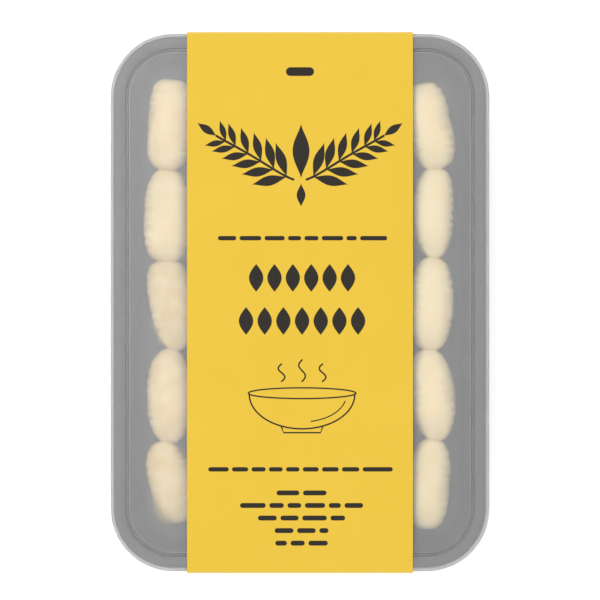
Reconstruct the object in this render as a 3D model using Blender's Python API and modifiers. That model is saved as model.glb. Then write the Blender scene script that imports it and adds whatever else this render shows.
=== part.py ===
"""Potato gnocchi in a shut tray pack: a tray, a frosted lid, a card sleeve and two layers of gnocchi.

Metres. X is the width, Y the length, Z up. The pack rests on the sleeve's underside at z = 0.
"""

import math

import bmesh
import bpy
import numpy as np
from mathutils import Matrix

# Outer size of the lid, which is the widest piece seen from above.
LID_WIDTH = 0.1480
LID_LENGTH = 0.2100
LID_CORNER = 0.0246
CORNER_SIDES = 7

# Thicknesses, and the gap left between neighbours.
CARD = 0.0004
TRAY_SHEET = 0.0007
LID_SHEET = 0.0004
GAP = 0.00025

# A wall that stands upright still leans in by this much.
UPRIGHT_LEAN = 0.00005

# The lid from its edge inwards: skirt, raised lip, flat band, groove, panel.
SKIRT_HEIGHT = 0.0050
SKIRT_ROUND = 0.0007
LIP_WIDTH = 0.0016
LIP_CREST = 0.0008
LIP_RISE = 0.0005
BAND_WIDTH = 0.0040
GROOVE_WIDTH = 0.0015
GROOVE_SLOPE = 0.0002
GROOVE_DEPTH = 0.0009
PANEL_DROP = 0.0003

# The tray.
TRAY_INSET = 0.0012
TRAY_LIP = 0.0024
TRAY_LIP_ROUND = 0.0004
WALL_ROUND_IN = 0.0006
WALL_ROUND_DOWN = 0.0008
WALL_DRAFT = math.radians(8)
BASE_FILLET = 0.0050
FOOT_WIDTH = 0.0060
FOOT_STEP = 0.0006
FOOT_SLOPE = 0.0009

# The sleeve is a closed band of card round the pack's length.
SLEEVE_WIDTH = 0.0882
SLEEVE_FOLD = 0.0010
SLEEVE_FOOT_LENGTH = 0.1922
SLEEVE_BEND_BELOW_SKIRT = 0.0004

# Gnocchi: seven columns of five, in two layers. Squareness 2 is a round cross-section.
COLUMNS = 7
ROWS = 5
COLUMN_PITCH = 0.0172
ROW_PITCH = 0.0353
ROW_SHIFT = -0.0008
PIECE_LENGTH = 0.0345
PIECE_WIDTH = 0.0163
PIECE_THICKNESS = 0.0150
LAYER_GAP = 0.0004
SQUARENESS = 2.6
CORE_THICKNESS = 0.0050
CORE_OVER_WIDTH = 0.0060
CORE_OVER_LENGTH = 0.0240

# How much one piece differs from the next, in metres and degrees.
SEED = 45
DRIFT_ACROSS = 0.0002
DRIFT_ALONG = 0.0003
LESS_LENGTH = 0.0010
LESS_WIDTH = 0.0013
LESS_THICKNESS = 0.0005
MOST_LEAN = 1.5
MOST_TAPER = 0.05
BLUNTEST = 0.70
ROUNDEST = 0.88

# The ten pieces either side of the sleeve, and two under its edges that make room for them. In millimetres
# and degrees: centre x, centre y, length, width, lean, taper, sideways bend, bluntness of the far end and of
# the near end (lower is blunter), and how far the top lies under the lid.
SEEN = {
    "a1": (-51.4, 69.4, 34.6, 16.4, -3, -0.10, 0.3, 0.46, 0.78, 0.0),
    "a2": (-52.1, 34.2, 35.4, 17.2, -1, -0.03, -0.3, 0.78, 0.68, 0.0),
    "a3": (-50.6, -1.2, 34.8, 16.4, 8, 0.07, 0.0, 0.66, 0.90, 1.3),
    "a4": (-51.2, -36.6, 35.8, 16.8, 1, -0.03, -0.3, 0.90, 0.88, 0.3),
    "a5": (-50.9, -70.5, 31.8, 16.2, 14, 0.05, 0.0, 0.86, 0.90, 1.2),
    "b5": (-33.9, -71.5, 33.6, 15.4, 4, 0.0, 0.0, 0.82, 0.84, 0.4),
    "f1": (33.6, 69.8, 33.8, 15.2, 4, 0.0, 0.0, 0.80, 0.82, 0.2),
    "g1": (50.8, 69.0, 33.4, 16.4, 12, -0.09, 0.3, 0.50, 0.82, 0.0),
    "g2": (53.2, 35.0, 34.8, 15.2, -1, 0.02, -0.8, 0.82, 0.96, 0.0),
    "g3": (51.6, -0.6, 35.6, 16.4, -2, -0.01, 0.0, 0.80, 0.84, 0.4),
    "g4": (51.8, -36.4, 35.0, 16.4, 7, 0.0, 0.4, 0.84, 0.90, 0.0),
    "g5": (50.8, -71.2, 34.2, 15.6, -4, 0.01, 0.0, 0.78, 0.72, 0.6),
}

# Heights, from the ground up.
TRAY_UNDER = CARD + GAP
TRAY_FLOOR = TRAY_UNDER + TRAY_SHEET
BED_UNDER = TRAY_FLOOR + FOOT_STEP + GAP
BED_TOP = BED_UNDER + PIECE_THICKNESS
LAYER_TOP = BED_TOP + PIECE_THICKNESS + LAYER_GAP
PANEL_TOP = LAYER_TOP + GAP + LID_SHEET
BAND_TOP = PANEL_TOP + PANEL_DROP
LIP_TOP = BAND_TOP + LIP_RISE
FLANGE_TOP = BAND_TOP - LID_SHEET - GAP
SLEEVE_TOP = LIP_TOP + GAP + CARD


def clear_scene():
    for obj in list(bpy.data.objects):
        bpy.data.objects.remove(obj)


def material(name, colour, roughness, transmission=0.0):
    made = bpy.data.materials.new(name)
    made.use_nodes = True
    shader = made.node_tree.nodes["Principled BSDF"]
    shader.inputs["Base Color"].default_value = (*colour, 1.0)
    shader.inputs["Roughness"].default_value = roughness
    shader.inputs["Transmission Weight"].default_value = transmission
    made.diffuse_color = (*colour, 1.0)
    return made


def add_object(name, bm, owner, finish, sharp_angle=None):
    mesh = bpy.data.meshes.new(name)
    bm.to_mesh(mesh)
    bm.free()
    mesh.shade_smooth()
    if sharp_angle is not None:
        mesh.set_sharp_from_angle(angle=math.radians(sharp_angle))
    mesh.materials.append(finish)
    obj = bpy.data.objects.new(name, mesh)
    owner.objects.link(obj)
    return obj


def pressed_sheet(width, length, corner, start, steps):
    """A rounded rectangle at height start, drawn inwards and up or down once for each step."""
    bm = bmesh.new()
    bmesh.ops.create_grid(bm, x_segments=1, y_segments=1, size=0.5)
    bmesh.ops.scale(bm, vec=(width, length, 1.0), verts=bm.verts)
    bmesh.ops.translate(bm, vec=(0.0, 0.0, start), verts=bm.verts)
    bmesh.ops.bevel(
        bm,
        geom=bm.verts[:],
        offset=corner,
        offset_type="OFFSET",
        segments=CORNER_SIDES,
        profile=0.5,
        affect="VERTICES",
    )
    bm.faces.ensure_lookup_table()
    panel = bm.faces[0]
    for inward, up in steps:
        bmesh.ops.inset_individual(bm, faces=[panel], thickness=inward, depth=up, use_even_offset=True)
    return bm


def quarter(radius_in, radius_up, sides, outer):
    """Steps round a quarter ellipse: outer turns from upright to level, else from level to upright."""
    steps = []
    for k in range(sides):
        a = math.pi / 2 * k / sides
        b = math.pi / 2 * (k + 1) / sides
        if outer:
            steps.append((radius_in * (math.cos(a) - math.cos(b)), radius_up * (math.sin(b) - math.sin(a))))
        else:
            steps.append((radius_in * (math.sin(b) - math.sin(a)), radius_up * (math.cos(a) - math.cos(b))))
    return steps


def thicken(obj, thickness):
    solid = obj.modifiers.new("Sheet", "SOLIDIFY")
    solid.thickness = thickness
    solid.offset = -1.0
    solid.use_even_offset = True
    solid.use_quality_normals = True


def build_tray(owner, finish):
    wall_edge = LIP_WIDTH + BAND_WIDTH - LID_SHEET - GAP
    wall_height = FLANGE_TOP - WALL_ROUND_DOWN - TRAY_FLOOR - BASE_FILLET
    steps = [(UPRIGHT_LEAN, TRAY_LIP - TRAY_LIP_ROUND)]
    steps += quarter(TRAY_LIP_ROUND, TRAY_LIP_ROUND, 2, True)
    steps.append((wall_edge - TRAY_INSET - TRAY_LIP_ROUND - WALL_ROUND_IN, 0.0))
    steps += quarter(WALL_ROUND_IN, -WALL_ROUND_DOWN, 2, False)
    steps.append((wall_height * math.tan(WALL_DRAFT), -wall_height))
    steps += quarter(BASE_FILLET, -BASE_FILLET, 3, True)
    steps.append((FOOT_WIDTH, 0.0))
    steps.append((FOOT_SLOPE, FOOT_STEP))
    bm = pressed_sheet(
        LID_WIDTH - 2 * TRAY_INSET,
        LID_LENGTH - 2 * TRAY_INSET,
        LID_CORNER - TRAY_INSET,
        FLANGE_TOP - TRAY_LIP,
        steps,
    )
    tray = add_object("tray", bm, owner, finish, 32)
    thicken(tray, TRAY_SHEET)


def build_lid(owner, finish):
    steps = [(UPRIGHT_LEAN, SKIRT_HEIGHT - SKIRT_ROUND)]
    steps += quarter(LIP_CREST - UPRIGHT_LEAN, SKIRT_ROUND, 2, True)
    steps.append((LIP_WIDTH - LIP_CREST, -LIP_RISE))
    steps.append((BAND_WIDTH, 0.0))
    steps.append((GROOVE_SLOPE, -GROOVE_DEPTH))
    steps.append((GROOVE_WIDTH - 2 * GROOVE_SLOPE, 0.0))
    steps.append((GROOVE_SLOPE, GROOVE_DEPTH - PANEL_DROP))
    bm = pressed_sheet(LID_WIDTH, LID_LENGTH, LID_CORNER, LIP_TOP - SKIRT_HEIGHT, steps)
    lid = add_object("lid", bm, owner, finish, 50)
    thicken(lid, LID_SHEET)


def build_sleeve(owner, finish):
    """Card folded at the four corners, and bent a little where it leaves the lid's skirt."""
    half_top = LID_LENGTH / 2 + GAP + CARD
    half_foot = SLEEVE_FOOT_LENGTH / 2
    bend = LIP_TOP - SKIRT_HEIGHT - SLEEVE_BEND_BELOW_SKIRT
    outline = [
        (-half_foot, 0.0),
        (half_foot, 0.0),
        (half_top, bend),
        (half_top, SLEEVE_TOP),
        (-half_top, SLEEVE_TOP),
        (-half_top, bend),
    ]
    bm = bmesh.new()
    ring = [bm.verts.new((-SLEEVE_WIDTH / 2, y, z)) for y, z in outline]
    face = bm.faces.new(ring)
    made = bmesh.ops.extrude_face_region(bm, geom=[face])
    moved = [v for v in made["geom"] if isinstance(v, bmesh.types.BMVert)]
    bmesh.ops.translate(bm, vec=(SLEEVE_WIDTH, 0.0, 0.0), verts=moved)
    ends = [f for f in bm.faces if len(f.verts) == len(outline)]
    bmesh.ops.delete(bm, geom=ends, context="FACES_ONLY")
    folds = [e for e in bm.edges if abs(e.verts[0].co.x - e.verts[1].co.x) > SLEEVE_WIDTH / 2]
    bmesh.ops.bevel(
        bm,
        geom=folds,
        offset=SLEEVE_FOLD,
        offset_type="OFFSET",
        segments=4,
        profile=0.5,
        affect="EDGES",
    )
    bmesh.ops.recalc_face_normals(bm, faces=bm.faces)
    top = max(bm.faces, key=lambda f: f.calc_center_median().z)
    if top.normal.z < 0:
        bmesh.ops.reverse_faces(bm, faces=bm.faces)
    sleeve = add_object("sleeve", bm, owner, finish, 40)
    thicken(sleeve, CARD)


def gnocco_mesh(shape, around, along):
    """A dumpling lying along Y: a ball drawn out and squared a little, blunted, tapered, bent and leaning."""
    bm = bmesh.new()
    bmesh.ops.create_uvsphere(bm, u_segments=around, v_segments=along, radius=1.0)
    bmesh.ops.rotate(bm, matrix=Matrix.Rotation(math.radians(-90), 3, "X"), verts=bm.verts)
    for vert in bm.verts:
        x, far, z = vert.co
        power = shape["blunt_far"] if far > 0 else shape["blunt_near"]
        radius = math.hypot(x, z)
        swell = 0.0
        if radius > 0.001:
            corner = abs(x / radius) ** SQUARENESS + abs(z / radius) ** SQUARENESS
            swell = radius ** (power - 1) * corner ** (-1 / SQUARENESS) * (1 + shape["taper"] * far)
        vert.co.x = x * swell * shape["width"] / 2 + shape["bend"] * (1 - far * far)
        vert.co.z = z * swell * shape["thickness"] / 2
        vert.co.y = math.copysign(abs(far) ** power, far) * shape["length"] / 2
    turn = Matrix.Rotation(math.radians(shape["lean"]), 4, "Z")
    place = Matrix.Translation((shape["x"], shape["y"], shape["height"]))
    bmesh.ops.transform(bm, matrix=place @ turn, verts=bm.verts)
    return bm


def piece_name(column, row):
    return "abcdefg"[column] + str(row + 1)


def varied_shape(rng, column, row):
    """One piece's place and shape, a little different from its neighbours'."""
    across = (column - (COLUMNS - 1) / 2) * COLUMN_PITCH
    along = ((ROWS - 1) / 2 - row) * ROW_PITCH + ROW_SHIFT
    return {
        "x": across + rng.uniform(-DRIFT_ACROSS, DRIFT_ACROSS),
        "y": along + rng.uniform(-DRIFT_ALONG, DRIFT_ALONG),
        "length": PIECE_LENGTH - rng.uniform(0.0, LESS_LENGTH),
        "width": PIECE_WIDTH - rng.uniform(0.0, LESS_WIDTH),
        "thickness": PIECE_THICKNESS - rng.uniform(0.0, LESS_THICKNESS),
        "lean": rng.uniform(-MOST_LEAN, MOST_LEAN),
        "taper": rng.uniform(-MOST_TAPER, MOST_TAPER),
        "blunt_far": rng.uniform(BLUNTEST, ROUNDEST),
        "blunt_near": rng.uniform(BLUNTEST, ROUNDEST),
        "bend": 0.0,
    }


def seen_shape(name, thickness):
    x, y, length, width, lean, taper, bend, blunt_far, blunt_near, dip = SEEN[name]
    return {
        "x": x / 1000,
        "y": y / 1000,
        "length": length / 1000,
        "width": width / 1000,
        "thickness": thickness - dip / 1000,
        "lean": lean,
        "taper": taper,
        "blunt_far": blunt_far,
        "blunt_near": blunt_near,
        "bend": bend / 1000,
        "height": LAYER_TOP - dip / 1000 - (thickness - dip / 1000) / 2,
    }


def build_top_layer(owner, finish, rng):
    for column in range(COLUMNS):
        for row in range(ROWS):
            name = piece_name(column, row)
            shape = varied_shape(rng, column, row)
            shape["height"] = LAYER_TOP - shape["thickness"] / 2
            if name in SEEN:
                shape = seen_shape(name, shape["thickness"])
            add_object("gnocco_" + name, gnocco_mesh(shape, 12, 8), owner, finish)


def build_lower_layer(owner, helpers, finish, rng):
    """The lower layer as one heap: its pieces are joined by a thin core."""
    middle = BED_UNDER + PIECE_THICKNESS / 2
    core_width = (COLUMNS - 1) * COLUMN_PITCH + CORE_OVER_WIDTH
    core_length = (ROWS - 1) * ROW_PITCH + CORE_OVER_LENGTH
    bm = bmesh.new()
    bmesh.ops.create_cube(bm, size=1.0)
    bmesh.ops.scale(bm, vec=(core_width, core_length, CORE_THICKNESS), verts=bm.verts)
    bmesh.ops.translate(bm, vec=(0.0, ROW_SHIFT, middle), verts=bm.verts)
    heap = add_object("gnocchi_lower_layer", bm, owner, finish, 40)
    for column in range(COLUMNS):
        for row in range(ROWS):
            shape = varied_shape(rng, column, row)
            shape["height"] = middle
            bm = gnocco_mesh(shape, 8, 5)
            add_object("lower_" + piece_name(column, row), bm, helpers, finish)
    join = heap.modifiers.new("Join", "BOOLEAN")
    join.operation = "UNION"
    join.operand_type = "COLLECTION"
    join.collection = helpers
    join.solver = "EXACT"
    bpy.context.view_layer.update()
    graph = bpy.context.evaluated_depsgraph_get()
    joined = bpy.data.meshes.new_from_object(heap.evaluated_get(graph))
    heap.modifiers.clear()
    heap.data = joined
    for helper in list(helpers.objects):
        bpy.data.objects.remove(helper)
    bpy.data.collections.remove(helpers)


def main():
    clear_scene()
    pack = bpy.data.collections.new("potato_gnocchi_pack")
    helpers = bpy.data.collections.new("helpers")
    bpy.context.scene.collection.children.link(pack)
    bpy.context.scene.collection.children.link(helpers)
    tray_plastic = material("tray_plastic", (0.04, 0.042, 0.043), 0.45)
    lid_plastic = material("lid_plastic", (0.88, 0.885, 0.89), 0.22, 0.85)
    sleeve_card = material("sleeve_card", (0.77, 0.495, 0.021), 0.6)
    dough = material("dough", (0.92, 0.76, 0.46), 0.65)
    rng = np.random.default_rng(SEED)
    build_tray(pack, tray_plastic)
    build_lid(pack, lid_plastic)
    build_sleeve(pack, sleeve_card)
    build_top_layer(pack, dough, rng)
    build_lower_layer(pack, helpers, dough, rng)


main()
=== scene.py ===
"""Looks of a shut pack of potato gnocchi: dark grey tray, milky lid, yellow card sleeve, dough pieces."""

import math
from functools import partial

import bmesh
import bpy
import numpy as np
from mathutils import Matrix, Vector


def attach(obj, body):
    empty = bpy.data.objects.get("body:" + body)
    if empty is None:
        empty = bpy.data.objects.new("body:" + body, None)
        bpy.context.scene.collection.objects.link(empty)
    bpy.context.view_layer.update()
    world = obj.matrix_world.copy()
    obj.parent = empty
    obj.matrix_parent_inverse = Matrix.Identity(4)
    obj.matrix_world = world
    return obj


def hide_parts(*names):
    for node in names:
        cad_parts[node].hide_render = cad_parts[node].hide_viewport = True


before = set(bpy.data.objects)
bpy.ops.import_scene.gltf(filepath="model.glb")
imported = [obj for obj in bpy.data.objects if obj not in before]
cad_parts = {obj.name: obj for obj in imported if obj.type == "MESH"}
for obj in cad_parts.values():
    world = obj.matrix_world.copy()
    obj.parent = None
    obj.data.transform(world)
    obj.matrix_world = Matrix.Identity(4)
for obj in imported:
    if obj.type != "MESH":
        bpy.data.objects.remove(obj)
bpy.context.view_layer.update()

MM = 0.001

# Sizes shared with the solids, in metres.

# Outer size of the lid, which is the widest piece seen from above.
LID_WIDTH = 0.1480
LID_LENGTH = 0.2100
LID_CORNER = 0.0246
CORNER_SIDES = 20

# Thicknesses, and the gap left between neighbours.
CARD = 0.0004
TRAY_SHEET = 0.0007
LID_SHEET = 0.0004
GAP = 0.00025

# A wall that stands upright still leans in by this much.
UPRIGHT_LEAN = 0.00005

# The lid from its edge inwards: skirt, raised lip, flat band, groove, panel.
SKIRT_HEIGHT = 0.0050
SKIRT_ROUND = 0.0007
LIP_WIDTH = 0.0016
LIP_CREST = 0.0008
LIP_RISE = 0.0005
BAND_WIDTH = 0.0040
GROOVE_WIDTH = 0.0015
GROOVE_SLOPE = 0.0002
GROOVE_DEPTH = 0.0009
PANEL_DROP = 0.0003

# The tray.
TRAY_INSET = 0.0012
TRAY_LIP = 0.0024
TRAY_LIP_ROUND = 0.0004
WALL_ROUND_IN = 0.0006
WALL_ROUND_DOWN = 0.0008
WALL_DRAFT = math.radians(8)
BASE_FILLET = 0.0050
FOOT_WIDTH = 0.0060
FOOT_STEP = 0.0006
FOOT_SLOPE = 0.0009

# The sleeve is a closed band of card round the pack's length.
SLEEVE_WIDTH = 0.0882
SLEEVE_FOLD = 0.0010
SLEEVE_FOOT_LENGTH = 0.1922
SLEEVE_BEND_BELOW_SKIRT = 0.0004

# Gnocchi: seven columns of five, in two layers. Squareness 2 is a round cross-section.
COLUMNS = 7
ROWS = 5
COLUMN_PITCH = 0.0172
ROW_PITCH = 0.0353
ROW_SHIFT = -0.0008
PIECE_LENGTH = 0.0345
PIECE_WIDTH = 0.0163
PIECE_THICKNESS = 0.0150
LAYER_GAP = 0.0004
SQUARENESS = 2.6

# How much one piece differs from the next, in metres and degrees.
SEED = 45
DRIFT_ACROSS = 0.0002
DRIFT_ALONG = 0.0003
LESS_LENGTH = 0.0010
LESS_WIDTH = 0.0013
LESS_THICKNESS = 0.0005
MOST_LEAN = 1.5
MOST_TAPER = 0.05
BLUNTEST = 0.70
ROUNDEST = 0.88

# The ten pieces either side of the sleeve, and two under its edges that make room for them. In
# millimetres and degrees: centre x, centre y, length, width, lean, taper, sideways bend, bluntness of
# the far end and of the near end (lower is blunter), and how far the top lies under the lid.
SEEN = {
    "a1": (-51.4, 69.4, 34.6, 16.4, -3, -0.10, 0.3, 0.46, 0.78, 0.0),
    "a2": (-52.1, 34.2, 35.4, 17.2, -1, -0.03, -0.3, 0.78, 0.68, 0.0),
    "a3": (-50.6, -1.2, 34.8, 16.4, 8, 0.07, 0.0, 0.66, 0.90, 1.3),
    "a4": (-51.2, -36.6, 35.8, 16.8, 1, -0.03, -0.3, 0.90, 0.88, 0.3),
    "a5": (-50.9, -70.5, 31.8, 16.2, 14, 0.05, 0.0, 0.86, 0.90, 1.2),
    "b5": (-33.9, -71.5, 33.6, 15.4, 4, 0.0, 0.0, 0.82, 0.84, 0.4),
    "f1": (33.6, 69.8, 33.8, 15.2, 4, 0.0, 0.0, 0.80, 0.82, 0.2),
    "g1": (50.8, 69.0, 33.4, 16.4, 12, -0.09, 0.3, 0.50, 0.82, 0.0),
    "g2": (53.2, 35.0, 34.8, 15.2, -1, 0.02, -0.8, 0.82, 0.96, 0.0),
    "g3": (51.6, -0.6, 35.6, 16.4, -2, -0.01, 0.0, 0.80, 0.84, 0.4),
    "g4": (51.8, -36.4, 35.0, 16.4, 7, 0.0, 0.4, 0.84, 0.90, 0.0),
    "g5": (50.8, -71.2, 34.2, 15.6, -4, 0.01, 0.0, 0.78, 0.72, 0.6),
}

# Heights, from the ground up.
TRAY_UNDER = CARD + GAP
TRAY_FLOOR = TRAY_UNDER + TRAY_SHEET
BED_UNDER = TRAY_FLOOR + FOOT_STEP + GAP
BED_TOP = BED_UNDER + PIECE_THICKNESS
LAYER_TOP = BED_TOP + PIECE_THICKNESS + LAYER_GAP
PANEL_TOP = LAYER_TOP + GAP + LID_SHEET
BAND_TOP = PANEL_TOP + PANEL_DROP
LIP_TOP = BAND_TOP + LIP_RISE
FLANGE_TOP = BAND_TOP - LID_SHEET - GAP
SLEEVE_TOP = LIP_TOP + GAP + CARD

# Colours. A pair is the darkest and the palest of a mottle.
TRAY_GREYS = ((0.036, 0.038, 0.039, 1.0), (0.046, 0.048, 0.049, 1.0))
LID_WHITES = ((0.885, 0.890, 0.895, 1.0), (0.915, 0.918, 0.922, 1.0))
# Painted shade: the lid's skirt, lip and flat band are greyed so that they look dimmer.
LID_RIM_SHADE_GREY = (0.70, 0.70, 0.71, 1.0)
# Painted shade: the groove's two steep sides are greyed into dark lines.
LID_CREASE_SHADE_GREY = (0.64, 0.64, 0.65, 1.0)
LID_SHADOW_TINT = (0.97, 0.97, 0.965, 1.0)
CARD_YELLOWS = ((0.780, 0.520, 0.053, 1.0), (0.800, 0.534, 0.058, 1.0))
CARD_WORN = (0.80, 0.66, 0.36, 1.0)
BOARD_BROWNS = ((0.50, 0.46, 0.38, 1.0), (0.66, 0.62, 0.54, 1.0))
INK_BLACKS = ((0.022, 0.018, 0.014, 1.0), (0.034, 0.029, 0.024, 1.0))
DOUGH_CREAMS = ((0.673, 0.480, 0.200, 1.0), (0.835, 0.672, 0.362, 1.0))
DOUGH_PALE = (0.85, 0.735, 0.47, 1.0)
FLOUR = (0.88, 0.80, 0.58, 1.0)
FLOOR_WHITE = (0.88, 0.88, 0.88, 1.0)
FULL_WHITE = (1.0, 1.0, 1.0, 1.0)


# Node trees


def set_inputs(tree, node, inputs):
    """Sets a node's inputs to plain values, or links them to other nodes' outputs."""
    for name, value in inputs.items():
        if isinstance(value, bpy.types.NodeSocket):
            tree.links.new(value, node.inputs[name])
        else:
            node.inputs[name].default_value = value


def add_node(tree, kind, inputs=None, **settings):
    node = tree.nodes.new(kind)
    for name, value in settings.items():
        setattr(node, name, value)
    set_inputs(tree, node, inputs or {})
    return node


def math_node(tree, operation, *operands):
    """The result of a Math node on outputs or plain numbers."""
    return add_node(tree, "ShaderNodeMath", dict(enumerate(operands)), operation=operation).outputs[0]


def map_range(tree, value, low, high, to_low, to_high):
    limits = {"From Min": low, "From Max": high, "To Min": to_low, "To Max": to_high}
    return add_node(tree, "ShaderNodeMapRange", {"Value": value, **limits}).outputs["Result"]


# Noise seldom leaves the first range. The second gives patches with harder edges.
NOISE_RANGE = (0.3, 0.7)
PATCH_EDGES = (0.35, 0.65)


def spread(tree, noise, low=0.0, high=1.0):
    """Noise spread over a range of its own."""
    return map_range(tree, noise, *NOISE_RANGE, low, high)


def grain_group():
    """Fine grain and broad mottle on object coordinates, for every material of the pack."""
    group = bpy.data.node_groups.new("surface_grain", "ShaderNodeTree")
    for name, value in (("Grain Size", 0.0005), ("Mottle Size", 0.01), ("Grain Roughness", 0.6)):
        socket = group.interface.new_socket(name, in_out="INPUT", socket_type="NodeSocketFloat")
        socket.default_value = value
    for name in ("Grain", "Mottle"):
        group.interface.new_socket(name, in_out="OUTPUT", socket_type="NodeSocketFloat")
    inside = group.nodes.new("NodeGroupInput")
    outside = group.nodes.new("NodeGroupOutput")
    place = add_node(group, "ShaderNodeTexCoord")
    for size, result in (("Grain Size", "Grain"), ("Mottle Size", "Mottle")):
        per_metre = math_node(group, "DIVIDE", 1.0, inside.outputs[size])
        values = {"Vector": place.outputs["Object"], "Scale": per_metre, "Detail": 3.0}
        if result == "Grain":
            values["Roughness"] = inside.outputs["Grain Roughness"]
        noise = add_node(group, "ShaderNodeTexNoise", values)
        group.links.new(noise.outputs["Fac"], outside.inputs[result])
    return group


GRAIN = grain_group()


def grain_and_mottle(tree, grain_size, mottle_size, grain_roughness):
    """The two masks of the shared grain group, with a surface's own sizes in metres."""
    sizes = {"Grain Size": grain_size, "Mottle Size": mottle_size, "Grain Roughness": grain_roughness}
    node = add_node(tree, "ShaderNodeGroup", sizes, node_tree=GRAIN)
    return node.outputs["Grain"], node.outputs["Mottle"]


def attribute(tree, name):
    """One of the piece's own attributes, as a mask."""
    return add_node(tree, "ShaderNodeAttribute", attribute_name=name).outputs["Fac"]


def mix_colours(tree, mask, low, high):
    """A colour that runs from low to high with a mask."""
    inputs = {"Factor": mask, "A": low, "B": high}
    return add_node(tree, "ShaderNodeMix", inputs, data_type="RGBA").outputs["Result"]


def bump(tree, height, strength, distance):
    inputs = {"Height": height, "Strength": strength, "Distance": distance}
    return add_node(tree, "ShaderNodeBump", inputs).outputs["Normal"]


# Materials


def new_material(name):
    """A material, its node tree and its shader."""
    made = bpy.data.materials.new(name)
    made.use_nodes = True
    return made, made.node_tree, made.node_tree.nodes["Principled BSDF"]


def tray_material():
    made, tree, shader = new_material("tray_satin_grey")
    grain, mottle = grain_and_mottle(tree, grain_size=0.0004, mottle_size=0.018, grain_roughness=0.7)
    finish = {
        "Base Color": mix_colours(tree, spread(tree, mottle), *TRAY_GREYS),
        "Roughness": spread(tree, mottle, 0.40, 0.50),
        "Normal": bump(tree, grain, strength=0.25, distance=0.00008),
    }
    set_inputs(tree, shader, finish)
    return made


# How rough the lid is where it is thin and at its rim. Rougher plastic blurs more.
LID_ROUGHNESS = 0.26
LID_RIM_ROUGHNESS = 0.50


def lid_material():
    """Milky plastic: light reaches what lies under it, and what lies deeper blurs."""
    made, tree, shader = new_material("lid_milky")
    grain, mottle = grain_and_mottle(tree, grain_size=0.0016, mottle_size=0.03, grain_roughness=0.4)
    # The rim mask greys the lid's skirt, lip and flat band as painted shade, and makes them rougher.
    rim = attribute(tree, "rim_shade_and_rough")
    body = mix_colours(tree, spread(tree, mottle), *LID_WHITES)
    body = mix_colours(tree, rim, body, LID_RIM_SHADE_GREY)
    finish = {
        # The groove's steep sides are greyed as painted shade.
        "Base Color": mix_colours(tree, attribute(tree, "crease"), body, LID_CREASE_SHADE_GREY),
        "Roughness": map_range(tree, rim, 0.0, 1.0, LID_ROUGHNESS, LID_RIM_ROUGHNESS),
        "IOR": 1.34,
        "Transmission Weight": 0.87,
        "Normal": bump(tree, grain, strength=0.008, distance=0.00003),
    }
    set_inputs(tree, shader, finish)
    clear = add_node(tree, "ShaderNodeBsdfTransparent", {"Color": LID_SHADOW_TINT})
    path = add_node(tree, "ShaderNodeLightPath")
    layers = {"Fac": path.outputs["Is Shadow Ray"], 1: shader.outputs["BSDF"], 2: clear.outputs["BSDF"]}
    mix = add_node(tree, "ShaderNodeMixShader", layers)
    set_inputs(tree, tree.nodes["Material Output"], {"Surface": mix.outputs["Shader"]})
    return made


# Worn card shows first where its grain stands high: from the first height on, fully from the second.
WORN_GRAIN = (0.42, 0.60)


def card_material():
    made, tree, shader = new_material("sleeve_yellow_card")
    grain, mottle = grain_and_mottle(tree, grain_size=0.0006, mottle_size=0.03, grain_roughness=0.75)
    print_field = mix_colours(tree, spread(tree, mottle), *CARD_YELLOWS)
    high_grain = map_range(tree, grain, *WORN_GRAIN, 0.0, 1.0)
    wear = math_node(tree, "MULTIPLY", attribute(tree, "fold_wear"), high_grain)
    finish = {
        "Base Color": mix_colours(tree, wear, print_field, CARD_WORN),
        "Roughness": spread(tree, grain, 0.56, 0.64),
        "Specular IOR Level": 0.08,
        "Normal": bump(tree, grain, strength=0.012, distance=0.00004),
    }
    set_inputs(tree, shader, finish)
    return made


def board_material():
    """The raw board: the sleeve's inside and its cut edges."""
    made, tree, shader = new_material("sleeve_raw_board")
    fibre, _ = grain_and_mottle(tree, grain_size=0.0005, mottle_size=0.008, grain_roughness=0.8)
    finish = {
        "Base Color": mix_colours(tree, spread(tree, fibre), *BOARD_BROWNS),
        "Roughness": 0.85,
        "Normal": bump(tree, fibre, strength=0.4, distance=0.00008),
    }
    set_inputs(tree, shader, finish)
    return made


def ink_material():
    made, tree, shader = new_material("sleeve_dark_ink")
    grain, _ = grain_and_mottle(tree, grain_size=0.0006, mottle_size=0.012, grain_roughness=0.7)
    finish = {
        "Base Color": mix_colours(tree, spread(tree, grain), *INK_BLACKS),
        "Roughness": 0.5,
        "Specular IOR Level": 0.12,
        "Normal": bump(tree, grain, strength=0.15, distance=0.00004),
    }
    set_inputs(tree, shader, finish)
    return made


# The paler patches in the dough reach this share of their colour. Flour shows where the grain stands
# between these heights, up to its own share.
PALE_SHARE = 0.5
FLOUR_GRAIN = (0.50, 0.72)
FLOUR_SHARE = 0.35


def dough_material():
    """Potato dough: cream with paler floury patches, matt and a little soft in the light."""
    made, tree, shader = new_material("gnocchi_potato_dough")
    grain, mottle = grain_and_mottle(tree, grain_size=0.0009, mottle_size=0.006, grain_roughness=0.7)
    patches = map_range(tree, mottle, *PATCH_EDGES, 0.0, PALE_SHARE)
    flour = map_range(tree, grain, *FLOUR_GRAIN, 0.0, FLOUR_SHARE)
    # The pieces' tone; the darkness of a3 and a5 is partly painted shade.
    body = mix_colours(tree, attribute(tree, "tone"), *DOUGH_CREAMS)
    body = mix_colours(tree, patches, body, DOUGH_PALE)
    finish = {
        "Base Color": mix_colours(tree, flour, body, FLOUR),
        "Roughness": spread(tree, grain, 0.60, 0.78),
        "Subsurface Weight": 0.35,
        "Subsurface Radius": (1.0, 0.7, 0.4),
        "Subsurface Scale": 0.003,
        "Specular IOR Level": 0.3,
        "Normal": bump(tree, grain, strength=0.35, distance=0.0002),
    }
    set_inputs(tree, shader, finish)
    return made


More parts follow.
